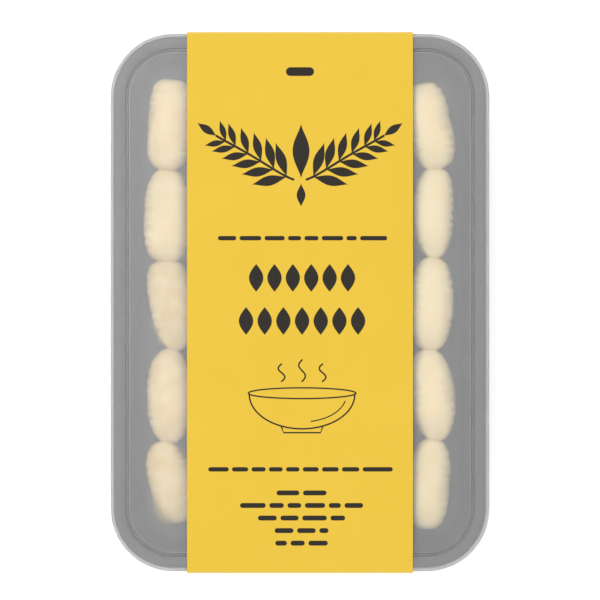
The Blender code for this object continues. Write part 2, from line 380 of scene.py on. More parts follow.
def floor_material():
    made, tree, shader = new_material("studio_floor_white")
    finish = {
        "Base Color": FLOOR_WHITE,
        "Emission Color": FULL_WHITE,
        "Emission Strength": 0.48,
        "Roughness": 0.9,
        "Specular IOR Level": 0.1,
    }
    set_inputs(tree, shader, finish)
    return made


TRAY_GREY = tray_material()
LID_MILKY = lid_material()
YELLOW_CARD = card_material()
RAW_BOARD = board_material()
DARK_INK = ink_material()
DOUGH = dough_material()


# Pieces


def piece_from_bmesh(name, bm, materials):
    mesh = bpy.data.meshes.new(name)
    bm.to_mesh(mesh)
    bm.free()
    for made in materials:
        mesh.materials.append(made)
    obj = bpy.data.objects.new(name, mesh)
    bpy.context.scene.collection.objects.link(obj)
    return obj


def bake_modifiers(obj):
    """Turns the evaluated shape into the object's own plain mesh."""
    bpy.context.view_layer.update()
    graph = bpy.context.evaluated_depsgraph_get()
    mesh = bpy.data.meshes.new_from_object(obj.evaluated_get(graph))
    mesh.name = obj.name
    obj.modifiers.clear()
    obj.data = mesh
    return obj


def smooth_sides(obj, degrees):
    obj.data.shade_smooth()
    obj.data.set_sharp_from_angle(angle=math.radians(degrees))


def store_values(obj, name, domain, values):
    """Gives a piece an attribute of its own, with one value for each point or face."""
    obj.data.attributes.new(name, "FLOAT", domain).data.foreach_set("value", values)


def hand_over(obj, slot, *nodes):
    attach(obj, "root")
    if nodes:
        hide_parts(*nodes)
    return obj


def pressed_sheet(width, length, corner, start, steps):
    """A rounded rectangle at height start, drawn inwards and up or down once for each step."""
    bm = bmesh.new()
    bmesh.ops.create_grid(bm, x_segments=1, y_segments=1, size=0.5)
    bmesh.ops.scale(bm, vec=(width, length, 1.0), verts=bm.verts)
    bmesh.ops.translate(bm, vec=(0.0, 0.0, start), verts=bm.verts)
    bmesh.ops.bevel(
        bm,
        geom=bm.verts[:],
        offset=corner,
        offset_type="OFFSET",
        segments=CORNER_SIDES,
        profile=0.5,
        affect="VERTICES",
    )
    bm.faces.ensure_lookup_table()
    panel = bm.faces[0]
    for inward, up in steps:
        bmesh.ops.inset_individual(bm, faces=[panel], thickness=inward, depth=up, use_even_offset=True)
    return bm


def quarter(radius_in, radius_up, sides, outer):
    """Steps round a quarter ellipse: outer turns from upright to level, else from level to upright."""
    steps = []
    for k in range(sides):
        a = math.pi / 2 * k / sides
        b = math.pi / 2 * (k + 1) / sides
        fall = math.cos(a) - math.cos(b)
        climb = math.sin(b) - math.sin(a)
        if outer:
            steps.append((radius_in * fall, radius_up * climb))
        else:
            steps.append((radius_in * climb, radius_up * fall))
    return steps


def thicken(obj, thickness, **settings):
    """Gives a surface its thickness, on the side that its faces turn away from."""
    solid = obj.modifiers.new("Sheet", "SOLIDIFY")
    solid.thickness = thickness
    solid.offset = -1.0
    for name, value in settings.items():
        setattr(solid, name, value)
    return bake_modifiers(obj)


def pressed_piece(name, bm, material, thickness):
    """A pressed sheet with its thickness, as even round its bends as on its flats."""
    sheet = piece_from_bmesh(name, bm, [material])
    return thicken(sheet, thickness, use_even_offset=True, use_quality_normals=True)


# The tray's wall is drawn down in even parts, and its foot rises by these shares, soft at both ends.
WALL_PARTS = 4
FOOT_PARTS = (0.2, 0.6, 0.2)


def make_tray():
    wall_edge = LIP_WIDTH + BAND_WIDTH - LID_SHEET - GAP
    wall_height = FLANGE_TOP - WALL_ROUND_DOWN - TRAY_FLOOR - BASE_FILLET
    steps = [(UPRIGHT_LEAN, TRAY_LIP - TRAY_LIP_ROUND)]
    steps += quarter(TRAY_LIP_ROUND, TRAY_LIP_ROUND, sides=4, outer=True)
    steps.append((wall_edge - TRAY_INSET - TRAY_LIP_ROUND - WALL_ROUND_IN, 0.0))
    steps += quarter(WALL_ROUND_IN, -WALL_ROUND_DOWN, sides=5, outer=False)
    steps += [(wall_height * math.tan(WALL_DRAFT) / WALL_PARTS, -wall_height / WALL_PARTS)] * WALL_PARTS
    steps += quarter(BASE_FILLET, -BASE_FILLET, sides=9, outer=True)
    steps.append((FOOT_WIDTH, 0.0))
    steps += [(FOOT_SLOPE / len(FOOT_PARTS), FOOT_STEP * part) for part in FOOT_PARTS]
    bm = pressed_sheet(
        LID_WIDTH - 2 * TRAY_INSET,
        LID_LENGTH - 2 * TRAY_INSET,
        LID_CORNER - TRAY_INSET,
        FLANGE_TOP - TRAY_LIP,
        steps,
    )
    tray = pressed_piece("tray_shell", bm, TRAY_GREY, TRAY_SHEET)
    smooth_sides(tray, degrees=35)
    return hand_over(tray, "tray_plastic", "tray")


# How far the painted shade on each side of the groove, and the lip's painted shade and roughness, reach on
# to the flat.
CREASE_EDGE = 0.0001
RIM_EDGE = 0.0004

# How much of the lip's painted shade and roughness the flat band beside the lip gets, where the lip counts
# as 1.
BAND_SHADE_AND_ROUGH = 0.42


def depth_inside(point):
    """How far a point of the lid lies inside its outline."""
    reach_x = max(abs(point.x) - (LID_WIDTH / 2 - LID_CORNER), 0.0)
    reach_y = max(abs(point.y) - (LID_LENGTH / 2 - LID_CORNER), 0.0)
    return LID_CORNER - math.hypot(reach_x, reach_y)


def rim_shade_and_rough_share(point):
    """1 on the lid's skirt and lip, less on its flat band, 0 inside that: how much of the lid's painted
    shade and extra roughness a point gets.
    """
    inside = depth_inside(point)
    if inside > LIP_WIDTH + BAND_WIDTH + GROOVE_SLOPE / 2:
        return 0.0
    past_lip = min(max((inside - LIP_WIDTH) / RIM_EDGE, 0.0), 1.0)
    return 1.0 - past_lip * (1.0 - BAND_SHADE_AND_ROUGH)


def crease_shade_share(centre):
    """1 on the two steep sides of the groove, which are greyed as painted shade, 0 elsewhere."""
    near = GROOVE_SLOPE / 2 + CREASE_EDGE
    first = LIP_WIDTH + BAND_WIDTH + GROOVE_SLOPE / 2
    second = LIP_WIDTH + BAND_WIDTH + GROOVE_WIDTH - GROOVE_SLOPE / 2
    inside = depth_inside(centre)
    return float(abs(inside - first) < near or abs(inside - second) < near)


def make_lid():
    steps = [(UPRIGHT_LEAN, SKIRT_HEIGHT - SKIRT_ROUND)]
    steps += quarter(LIP_CREST - UPRIGHT_LEAN, SKIRT_ROUND, sides=6, outer=True)
    steps += quarter(LIP_WIDTH - LIP_CREST, -LIP_RISE, sides=3, outer=False)
    steps += [
        (RIM_EDGE, 0.0),
        (BAND_WIDTH - RIM_EDGE - CREASE_EDGE, 0.0),
        (CREASE_EDGE, 0.0),
        (GROOVE_SLOPE, -GROOVE_DEPTH),
        (CREASE_EDGE, 0.0),
        (GROOVE_WIDTH - 2 * GROOVE_SLOPE - 2 * CREASE_EDGE, 0.0),
        (CREASE_EDGE, 0.0),
        (GROOVE_SLOPE, GROOVE_DEPTH - PANEL_DROP),
        (CREASE_EDGE, 0.0),
    ]
    bm = pressed_sheet(LID_WIDTH, LID_LENGTH, LID_CORNER, LIP_TOP - SKIRT_HEIGHT, steps)
    lid = pressed_piece("lid_shell", bm, LID_MILKY, LID_SHEET)
    smooth_sides(lid, degrees=50)
    # The rim's painted shade and roughness, by point.
    store_values(lid, "rim_shade_and_rough", "POINT", [rim_shade_and_rough_share(vert.co) for vert in lid.data.vertices])
    # The groove's painted shade, by face.
    store_values(lid, "crease", "FACE", [crease_shade_share(face.center) for face in lid.data.polygons])
    return hand_over(lid, "lid_plastic", "lid")


# Half the sleeve's length on the ground and on top.
HALF_FOOT = SLEEVE_FOOT_LENGTH / 2
HALF_TOP = LID_LENGTH / 2 + GAP + CARD

# The glued overlap under the sleeve: where its outer edge ends, and the step there.
SEAM_PLACE = 0.0240
SEAM_WIDTH = 0.0016
SEAM_DEPTH = 0.0002

# Sides of each rounded fold, and cuts in the card from one fold to the next.
FOLD_SIDES = 8
CARD_CUTS = 11

# Wear along the card's folds: its reach in fold sizes, how fast it grows and its most.
WEAR_REACH = 0.9
WEAR_RISE = 1.4
WEAR_MOST = 0.8


def sleeve_outline():
    """The sleeve from its side, as y and z: foot with its glued seam, sloping ends, upright ends, top."""
    bend = LIP_TOP - SKIRT_HEIGHT - SLEEVE_BEND_BELOW_SKIRT
    return [
        (-HALF_FOOT, 0.0),
        (SEAM_PLACE - SEAM_WIDTH, 0.0),
        (SEAM_PLACE, SEAM_DEPTH),
        (SEAM_PLACE, 0.0),
        (HALF_FOOT, 0.0),
        (HALF_TOP, bend),
        (HALF_TOP, SLEEVE_TOP),
        (-HALF_TOP, SLEEVE_TOP),
        (-HALF_TOP, bend),
    ]


def edges_across(bm):
    """The edges that run from one side of the sleeve to the other."""
    return [e for e in bm.edges if abs(e.verts[0].co.x - e.verts[1].co.x) > SLEEVE_WIDTH / 2]


def folded_band(outline):
    """The outline drawn out across the sleeve's width, with both sides open and its folds rounded."""
    bm = bmesh.new()
    ring = [bm.verts.new((-SLEEVE_WIDTH / 2, y, z)) for y, z in outline]
    face = bm.faces.new(ring)
    made = bmesh.ops.extrude_face_region(bm, geom=[face])
    moved = [v for v in made["geom"] if isinstance(v, bmesh.types.BMVert)]
    bmesh.ops.translate(bm, vec=(SLEEVE_WIDTH, 0.0, 0.0), verts=moved)
    ends = [f for f in bm.faces if len(f.verts) == len(outline)]
    bmesh.ops.delete(bm, geom=ends, context="FACES_ONLY")
    bmesh.ops.bevel(
        bm,
        geom=[e for e in edges_across(bm) if abs(e.verts[0].co.y) > HALF_FOOT / 2],
        offset=SLEEVE_FOLD,
        offset_type="OFFSET",
        segments=FOLD_SIDES,
        profile=0.5,
        affect="EDGES",
    )
    bmesh.ops.recalc_face_normals(bm, faces=bm.faces)
    top = max(bm.faces, key=lambda f: f.calc_center_median().z)
    if top.normal.z < 0:
        bmesh.ops.reverse_faces(bm, faces=bm.faces)
    bmesh.ops.subdivide_edges(bm, edges=edges_across(bm), cuts=CARD_CUTS, use_grid_fill=True)
    return bm


def wear_share(point):
    """How worn the card is: most at its four folds, not at all a little way from them."""
    side = Vector((point.y, point.z))
    folds = ((-HALF_FOOT, 0.0), (HALF_FOOT, 0.0), (-HALF_TOP, SLEEVE_TOP), (HALF_TOP, SLEEVE_TOP))
    near = min((side - Vector(fold)).length for fold in folds)
    return min(max(1.0 - near / (WEAR_REACH * SLEEVE_FOLD), 0.0) * WEAR_RISE, WEAR_MOST)


def make_sleeve():
    """Card folded at four corners and bent where it leaves the lid's skirt."""
    sleeve = piece_from_bmesh("sleeve_card", folded_band(sleeve_outline()), [YELLOW_CARD, RAW_BOARD])
    thicken(sleeve, CARD, use_even_offset=True, material_offset=1, material_offset_rim=1)
    smooth_sides(sleeve, degrees=40)
    store_values(sleeve, "fold_wear", "POINT", [wear_share(vert.co) for vert in sleeve.data.vertices])
    return hand_over(sleeve, "sleeve_card", "sleeve")


# Gnocchi

# A gnocco is drawn from a ball of radius 1. This stands in for the radius of its rings at the poles,
# which would be 0.
LEAST_RADIUS = 0.002

# How softly a gnocco's pressed top ends, and how far it stands above its solid.
FLAT_EDGE = 0.0003
CONTACT = 0.0001

# What the ribs and lumps take off a piece is added to its size first.
SPARE_LENGTH = 0.0026
SPARE_WIDTH = 0.0021
SPARE_THICKNESS = 0.0016

# Ribs and lumps, in metres. The layer underneath has shallower ones.
RIB_PITCH = 0.0036
RIB_DEPTH = 0.0011
LUMP_DEPTH = 0.0012
LOWER_RIB_DEPTH = 0.0006
LOWER_LUMP_DEPTH = 0.0009

# Size of the lumps and of the pores, and how deep the pores are.
LUMP_SIZE = 0.0085
PORE_SIZE = 0.0014
PORE_DEPTH = 0.0002

# The ribs wander by up to this many pitches over this size. The powers make them narrow, and end them
# short of the two ends.
RIB_WANDER = 1.6
RIB_WANDER_SIZE = 0.016
RIB_SHARPNESS = 1.6
RIB_END_FADE = 6.0

# They come and go in patches of this size, down to this share of their depth. Along the middle of a
# piece they are this faint, and they grow from there to its sides, where 1 is the edge.
RIB_PATCH_SIZE = 0.011
RIB_PATCH_LEAST = 0.15
RIB_MIDDLE_SHARE = 0.15
RIB_MIDDLE_ENDS = 0.4
RIB_SIDE_BEGINS = 0.9

# Sides round and along a gnocco of the top layer, and of the layer underneath.
TOP_SIDES = (56, 80)
LOWER_SIDES = (32, 40)

# Each piece reads its own part of the noise: the step from one column, row or form to the next.
COLUMN_SEED = 3.7
ROW_SEED = 1.3
FIRST_FORM_SEED = 11.0
FORM_SEED = 5.3

# How pale each seen piece is, from 0 to 1. The others lie halfway. The left column is darker than the
# right; a3 and a5, which lie deeper under the lid, are darkest, which is painted shade.
SEEN_TONES_AND_SHADE = {
    "a1": 0.25,
    "a2": 0.38,
    "a3": 0.0,
    "a4": 0.22,
    "a5": 0.05,
    "g1": 0.88,
    "g2": 0.96,
    "g3": 1.0,
    "g4": 0.90,
    "g5": 0.75,
}
MIDDLE_TONE = 0.5

# The four forms of the layer underneath: taper, and bluntness of the far end and of the near end.
LOWER_FORMS = ((0.03, 0.74, 0.82), (-0.04, 0.80, 0.72), (0.0, 0.86, 0.84), (0.05, 0.70, 0.78))
LOWER_LESS_LENGTH = 0.0004

# How far its pieces turn about each axis, in radians, and the least and most of their size.
LOWER_TURN = (0.0, 0.12, 0.03)
LOWER_LEAST = (0.93, 0.97, 0.93)
LOWER_MOST = (0.99, 1.0, 0.99)

FORM_INPUTS = [
    ("Length", "NodeSocketFloat", PIECE_LENGTH),
    ("Width", "NodeSocketFloat", PIECE_WIDTH),
    ("Thickness", "NodeSocketFloat", PIECE_THICKNESS),
    ("Taper", "NodeSocketFloat", 0.0),
    ("Blunt Far", "NodeSocketFloat", ROUNDEST),
    ("Blunt Near", "NodeSocketFloat", ROUNDEST),
    ("Rib Pitch", "NodeSocketFloat", RIB_PITCH),
    ("Rib Depth", "NodeSocketFloat", RIB_DEPTH),
    ("Lump Depth", "NodeSocketFloat", LUMP_DEPTH),
    ("Bend", "NodeSocketFloat", 0.0),
    ("Top", "NodeSocketFloat", PIECE_THICKNESS / 2),
    ("Seed", "NodeSocketFloat", 0.0),
    ("Tone", "NodeSocketFloat", MIDDLE_TONE),
    ("Place", "NodeSocketVector", (0.0, 0.0, 0.0)),
    ("Turn", "NodeSocketRotation", None),
    ("Material", "NodeSocketMaterial", None),
]

LAYER_INPUTS = [
    ("Columns", "NodeSocketInt", COLUMNS),
    ("Rows", "NodeSocketInt", ROWS),
    ("Column Pitch", "NodeSocketFloat", COLUMN_PITCH),
    ("Row Pitch", "NodeSocketFloat", ROW_PITCH),
    ("Height", "NodeSocketFloat", BED_UNDER + PIECE_THICKNESS / 2),
    ("Seed", "NodeSocketInt", SEED),
    ("Material", "NodeSocketMaterial", None),
]


def geometry_tree(name, inputs):
    tree = bpy.data.node_groups.new(name, "GeometryNodeTree")
    tree.is_modifier = True
    sockets = {}
    for label, kind, value in inputs:
        socket = tree.interface.new_socket(label, in_out="INPUT", socket_type=kind)
        if value is not None:
            socket.default_value = value
        sockets[label] = socket
    tree.interface.new_socket("Geometry", in_out="OUTPUT", socket_type="NodeSocketGeometry")
    return tree, sockets


def noise_node(tree, place, seed, size, detail):
    """Noise in the piece's own space, different for each seed."""
    values = {"Vector": place, "W": seed, "Scale": 1.0 / size, "Detail": detail}
    return add_node(tree, "ShaderNodeTexNoise", values, noise_dimensions="4D").outputs[0]


def vector_node(tree, operation, inputs):
    """The result of a Vector Math node."""
    return add_node(tree, "ShaderNodeVectorMath", inputs, operation=operation).outputs[0]


def split_vector(tree, vector):
    """The X, Y and Z of a vector."""
    return tuple(add_node(tree, "ShaderNodeSeparateXYZ", {0: vector}).outputs)


def join_vector(tree, x, y, z):
    return add_node(tree, "ShaderNodeCombineXYZ", {"X": x, "Y": y, "Z": z}).outputs[0]


def drawn_ball(tree, sizes, around, along):
    """A ball drawn out along Y, squared a little, its ends blunted, tapered and bent.

    Gives its mesh, each point's new place, and how far along the piece the point lies, from -1 to 1.
    """
    calc = partial(math_node, tree)
    ball = add_node(tree, "GeometryNodeMeshUVSphere", {"Segments": around, "Rings": along, "Radius": 1.0})
    x, y, far = split_vector(tree, add_node(tree, "GeometryNodeInputPosition").outputs[0])
    inside = calc("SUBTRACT", 1.0, calc("MULTIPLY", far, far))
    radius = calc("MAXIMUM", calc("SQRT", inside), LEAST_RADIUS)
    sides = [calc("POWER", calc("ABSOLUTE", calc("DIVIDE", v, radius)), SQUARENESS) for v in (x, y)]
    corner = calc("ADD", *sides)
    is_far = calc("GREATER_THAN", far, 0.0)
    difference = calc("SUBTRACT", sizes["Blunt Far"], sizes["Blunt Near"])
    power = calc("MULTIPLY_ADD", is_far, difference, sizes["Blunt Near"])
    swell = calc("POWER", radius, calc("SUBTRACT", power, 1.0))
    swell = calc("MULTIPLY", swell, calc("MULTIPLY_ADD", sizes["Taper"], far, 1.0))
    swell = calc("MULTIPLY", swell, calc("POWER", corner, -1.0 / SQUARENESS))
    reach = calc("POWER", calc("ABSOLUTE", far), power)
    reach = calc("MULTIPLY", reach, calc("SIGN", far))
    half_length, half_width, half_thickness = (
        calc("MULTIPLY", sizes[label], 0.5) for label in ("Length", "Width", "Thickness")
    )
    across = calc("MULTIPLY", calc("MULTIPLY", x, swell), half_width)
    across = calc("MULTIPLY_ADD", sizes["Bend"], inside, across)
    up = calc("MULTIPLY", calc("MULTIPLY", y, swell), half_thickness)
    place = join_vector(tree, across, calc("MULTIPLY", reach, half_length), up)
    return ball.outputs["Mesh"], place, far


def pressed_depth(tree, sizes, seed, place, far):
    """How deep the ribs, lumps and pores are pressed into a gnocco at each point."""
    calc = partial(math_node, tree)
    x, y, _ = split_vector(tree, place)
    wander = noise_node(tree, place, seed, RIB_WANDER_SIZE, 1.0)
    turns = calc("MULTIPLY_ADD", wander, RIB_WANDER, calc("DIVIDE", y, sizes["Rib Pitch"]))
    wave = calc("COSINE", calc("MULTIPLY", turns, math.tau))
    wave = calc("POWER", calc("MULTIPLY_ADD", wave, 0.5, 0.5), RIB_SHARPNESS)
    fade = calc("SUBTRACT", 1.0, calc("POWER", calc("ABSOLUTE", far), RIB_END_FADE))
    patchy = noise_node(tree, place, seed, RIB_PATCH_SIZE, 1.0)
    patchy = map_range(tree, patchy, *PATCH_EDGES, RIB_PATCH_LEAST, 1.0)
    sideways = calc("ABSOLUTE", calc("DIVIDE", x, calc("MULTIPLY", sizes["Width"], 0.5)))
    sideways = map_range(tree, sideways, RIB_MIDDLE_ENDS, RIB_SIDE_BEGINS, RIB_MIDDLE_SHARE, 1.0)
    rib = calc("MULTIPLY", calc("MULTIPLY", wave, fade), patchy)
    rib = calc("MULTIPLY", rib, sideways)
    depth = calc("MULTIPLY", rib, sizes["Rib Depth"])
    lump = noise_node(tree, place, seed, LUMP_SIZE, 2.0)
    depth = calc("MULTIPLY_ADD", lump, sizes["Lump Depth"], depth)
    return calc("MULTIPLY_ADD", noise_node(tree, place, seed, PORE_SIZE, 3.0), PORE_DEPTH, depth)


def form_gnocco(tree, sizes, seed, around, along):
    """One gnocco lying along Y: faint ribs and hand-rolled lumps pressed in, top flat against the lid."""
    mesh, place, far = drawn_ball(tree, sizes, around, along)
    depth = pressed_depth(tree, sizes, seed, place, far)
    outward = vector_node(tree, "NORMALIZE", {0: place})
    inward = vector_node(tree, "SCALE", {0: outward, "Scale": math_node(tree, "MULTIPLY", depth, -1.0)})
    x, y, z = split_vector(tree, vector_node(tree, "ADD", {0: place, 1: inward}))
    flat = join_vector(tree, x, y, math_node(tree, "SMOOTH_MIN", z, sizes["Top"], FLAT_EDGE))
    return add_node(tree, "GeometryNodeSetPosition", {"Geometry": mesh, "Position": flat}).outputs[0]


def finish_tree(tree, geometry, material):
    """Smooth shading, no instances left, and the material set."""
    smooth = add_node(tree, "GeometryNodeSetShadeSmooth", {"Geometry": geometry})
    real = add_node(tree, "GeometryNodeRealizeInstances", {"Geometry": smooth.outputs[0]})
    coat = add_node(tree, "GeometryNodeSetMaterial", {"Geometry": real.outputs[0], "Material": material})
    add_node(tree, "NodeGroupOutput", {"Geometry": coat.outputs[0]})


def gnocco_tree():
    tree, sockets = geometry_tree("gnocco_form", FORM_INPUTS)
    enter = tree.nodes.new("NodeGroupInput").outputs
    shaped = form_gnocco(tree, enter, enter["Seed"], *TOP_SIDES)
    tone = {"Geometry": shaped, "Name": "tone", "Value": enter["Tone"]}
    toned = add_node(tree, "GeometryNodeStoreNamedAttribute", tone, data_type="FLOAT")
    place = {"Geometry": toned.outputs[0], "Translation": enter["Place"], "Rotation": enter["Turn"]}
    placed = add_node(tree, "GeometryNodeTransform", place)
    finish_tree(tree, placed.outputs[0], enter["Material"])
    return tree, sockets


def grown_piece(name, tree, sockets, values):
    """A plain mesh grown by a geometry tree with these input values."""
    obj = bpy.data.objects.new(name, bpy.data.meshes.new(name))
    bpy.context.scene.collection.objects.link(obj)
    grow = obj.modifiers.new("Grow", "NODES")
    grow.node_group = tree
    for label, value in values.items():
        grow[sockets[label].identifier] = value
    return bake_modifiers(obj)


def varied_shape(rng, column, row):
    """One piece's place and shape, a little different from its neighbours'."""
    across = (column - (COLUMNS - 1) / 2) * COLUMN_PITCH
    along = ((ROWS - 1) / 2 - row) * ROW_PITCH + ROW_SHIFT
    return {
        "x": across + rng.uniform(-DRIFT_ACROSS, DRIFT_ACROSS),
        "y": along + rng.uniform(-DRIFT_ALONG, DRIFT_ALONG),
        "length": PIECE_LENGTH - rng.uniform(0.0, LESS_LENGTH),
        "width": PIECE_WIDTH - rng.uniform(0.0, LESS_WIDTH),
        "thickness": PIECE_THICKNESS - rng.uniform(0.0, LESS_THICKNESS),
        "lean": rng.uniform(-MOST_LEAN, MOST_LEAN),
        "taper": rng.uniform(-MOST_TAPER, MOST_TAPER),
        "blunt_far": rng.uniform(BLUNTEST, ROUNDEST),
        "blunt_near": rng.uniform(BLUNTEST, ROUNDEST),
        "bend": 0.0,
        "dip": 0.0,
    }


def seen_shape(name, thickness):
    """The place and shape of one of the pieces in the table, in metres."""
    x, y, length, width, lean, taper, bend, blunt_far, blunt_near, dip = SEEN[name]
    return {
        "x": x * MM,
        "y": y * MM,
        "length": length * MM,
        "width": width * MM,
        "thickness": thickness - dip * MM,
        "lean": lean,
        "taper": taper,
        "blunt_far": blunt_far,
        "blunt_near": blunt_near,
        "bend": bend * MM,
        "dip": dip * MM,
    }


def make_top_layer(rng):
    tree, sockets = gnocco_tree()
    for column in range(COLUMNS):
        for row in range(ROWS):
            name = "abcdefg"[column] + str(row + 1)
            shape = varied_shape(rng, column, row)
            if name in SEEN:
                shape = seen_shape(name, shape["thickness"])
            height = LAYER_TOP - shape["dip"] - shape["thickness"] / 2
            values = {
                "Length": shape["length"] + SPARE_LENGTH,
                "Width": shape["width"] + SPARE_WIDTH,
                "Thickness": shape["thickness"] + SPARE_THICKNESS,
                "Taper": shape["taper"],
                "Bend": shape["bend"],
                "Blunt Far": shape["blunt_far"],
                "Blunt Near": shape["blunt_near"],
                "Top": shape["thickness"] / 2 + CONTACT,
                "Seed": COLUMN_SEED * column + ROW_SEED * row,
                "Tone": SEEN_TONES_AND_SHADE.get(name, MIDDLE_TONE),
                "Place": (shape["x"], shape["y"], height),
                "Turn": (0.0, 0.0, math.radians(shape["lean"])),
                "Material": DOUGH,
            }
            piece = grown_piece("dough_" + name, tree, sockets, values)
            hand_over(piece, "dough", "gnocco_" + name)


def lower_forms(tree):
    """The four forms of the layer underneath, as instances to pick from."""
    forms = add_node(tree, "GeometryNodeGeometryToInstance")
    for number, (taper, far, near) in enumerate(LOWER_FORMS):
        sizes = {
            "Length": PIECE_LENGTH - LOWER_LESS_LENGTH,
            "Width": PIECE_WIDTH,
            "Thickness": PIECE_THICKNESS,
            "Taper": taper,
            "Blunt Far": far,
            "Blunt Near": near,
            "Rib Pitch": RIB_PITCH,
            "Rib Depth": LOWER_RIB_DEPTH,
            "Lump Depth": LOWER_LUMP_DEPTH,
            "Bend": 0.0,
            "Top": PIECE_THICKNESS / 2,
        }
        form = form_gnocco(tree, sizes, FIRST_FORM_SEED + FORM_SEED * number, *LOWER_SIDES)
        tree.links.new(form, forms.inputs[0])
    return forms.outputs[0]


def layer_points(tree, enter):
    """A grid of points, one for each piece of the layer, at the layer's height."""
    size = {"Vertices X": enter["Columns"], "Vertices Y": enter["Rows"]}
    for count, pitch, side in (("Columns", "Column Pitch", "Size X"), ("Rows", "Row Pitch", "Size Y")):
        steps = math_node(tree, "SUBTRACT", enter[count], 1.0)
        size[side] = math_node(tree, "MULTIPLY", steps, enter[pitch])
    grid = add_node(tree, "GeometryNodeMeshGrid", size)
    middle = join_vector(tree, 0.0, ROW_SHIFT, enter["Height"])
    place = {"Geometry": grid.outputs["Mesh"], "Translation": middle}
    return add_node(tree, "GeometryNodeTransform", place).outputs[0]


def random_vector(tree, seed, low, high):
    """A vector between two others, drawn anew for each point."""
    limits = {"Min": low, "Max": high, "Seed": seed}
    return add_node(tree, "FunctionNodeRandomValue", limits, data_type="FLOAT_VECTOR").outputs[0]


def lower_layer_tree():
    """Rows of gnocchi, each a different one of four forms, turned and sized a little at random."""
    tree, sockets = geometry_tree("gnocchi_rows", LAYER_INPUTS)
    enter = tree.nodes.new("NodeGroupInput").outputs
    seed = enter["Seed"]
    # The whole-number limits have the same names as the other kinds' limits, so they go by number.
    limits = {4: 0, 5: len(LOWER_FORMS) - 1, "Seed": seed}
    pick = add_node(tree, "FunctionNodeRandomValue", limits, data_type="INT")
    rows = {
        "Points": layer_points(tree, enter),
        "Instance": lower_forms(tree),
        "Pick Instance": True,
        "Instance Index": pick.outputs[2],
        "Rotation": random_vector(tree, seed, tuple(-angle for angle in LOWER_TURN), LOWER_TURN),
        "Scale": random_vector(tree, seed, LOWER_LEAST, LOWER_MOST),
    }
    laid = add_node(tree, "GeometryNodeInstanceOnPoints", rows)
    finish_tree(tree, laid.outputs[0], enter["Material"])
    return tree, sockets


def make_lower_layer():
    tree, sockets = lower_layer_tree()
    layer = grown_piece("dough_lower_layer", tree, sockets, {"Material": DOUGH})
    return hand_over(layer, "dough", "gnocchi_lower_layer")


# Print

# The ink reaches this far into the card and above it, and each layer of it lies this much lower.
INK_UNDER = 0.00002
INK_OVER = 0.00003
INK_LAYER = 0.000004

# Sides round the end of a line and of a bar, and along each edge of a leaf.
CAP_SIDES = 6
BAR_SIDES = 8
LEAF_SIDES = 14

# A dash's shortest and longest, and the space to the next one, as shares of its height.
SHORTEST_DASH = 4.0 / 1.7
LONGEST_DASH = 9.0 / 1.7
DASH_SPACE = 0.75
PRINT_SEED = 7

# A sprig, in millimetres and degrees: its rise from stalk to tip, how far it bows, and its line.
SPRIG_RISE = 17.0
SPRIG_BOW = 2.5
SPRIG_LINE = 0.9
SPRIG_SIDES = 24

# Its leaves: which points of the line they leave, their angles, the first one's length, how much
# shorter each next one is, and their width as a share of their length. Then the leaf at its tip.
SPRIG_LEAF_POINTS = (2, 6, 10, 14, 18, 21)
SPRIG_LEAF_ANGLES = (44, -40)
SPRIG_LEAF = 14.0
SPRIG_LEAF_LESS = 1.1
SPRIG_LEAF_WIDTH = 0.28
TIP_LEAF = (9.0, 3.0)
TIP_ANGLE = 34

# Where things stand on the sleeve's top, in millimetres from its middle: x, y, width and height of
# the bar and of the two long rows of dashes, then the number of leaves, y and width of each row of
# leaves, and the y and width of each row of fine dashes.
TOP_BAR = (0.0, 90.1, 11.0, 3.4)
UPPER_DASHES = (1.0, 25.1, 66.0, 1.7)
LOWER_DASHES = (0.2, -65.1, 72.0, 1.7)
LEAF_ROWS = ((6, 9.6, 43.0), (7, -7.2, 51.0))
LEAF_ROWS_X = 0.8
ROW_LEAF = (10.8, 5.6)
FINE_DASHES = ((-74.3, 19.5), (-79.2, 48.0), (-84.1, 34.0), (-89.0, 21.0), (-93.9, 20.5))
FINE_DASHES_X = 0.6
FINE_DASH_HEIGHT = 1.9
SPRIG_FOOT = (2.6, 48.0)
SPRIG_REACH = 30.0
BOWL_PLACE = (0.8, -35.4)

# The two leaves between the sprigs: x and y of their stalk ends, length, width and angle.
MIDDLE_LEAVES = ((0.4, 48.6, 21.0, 6.6, 90), (0.4, 46.4, 9.0, 3.4, -90))


def ink_point(bm, x, y, layer):
    """A point of ink in millimetres. Shapes that cross are on layers of their own, so no two faces meet."""
    return bm.verts.new((x * MM, y * MM, SLEEVE_TOP + INK_OVER - layer * INK_LAYER))


def ink_shape(bm, points, layer=0):
    """A flat shape of ink on the sleeve's top, from its outline in millimetres, anticlockwise."""
    face = bm.faces.new([ink_point(bm, x, y, layer) for x, y in points])
    bmesh.ops.triangulate(bm, faces=[face])


def round_end(centre, outward, width):
    """Points round the end of a line of ink, without its two corners."""
    side = Vector((outward.y, -outward.x))
    angles = [math.pi * k / CAP_SIDES for k in range(1, CAP_SIDES)]
    return [centre + (side * math.cos(a) + outward * math.sin(a)) * width / 2 for a in angles]


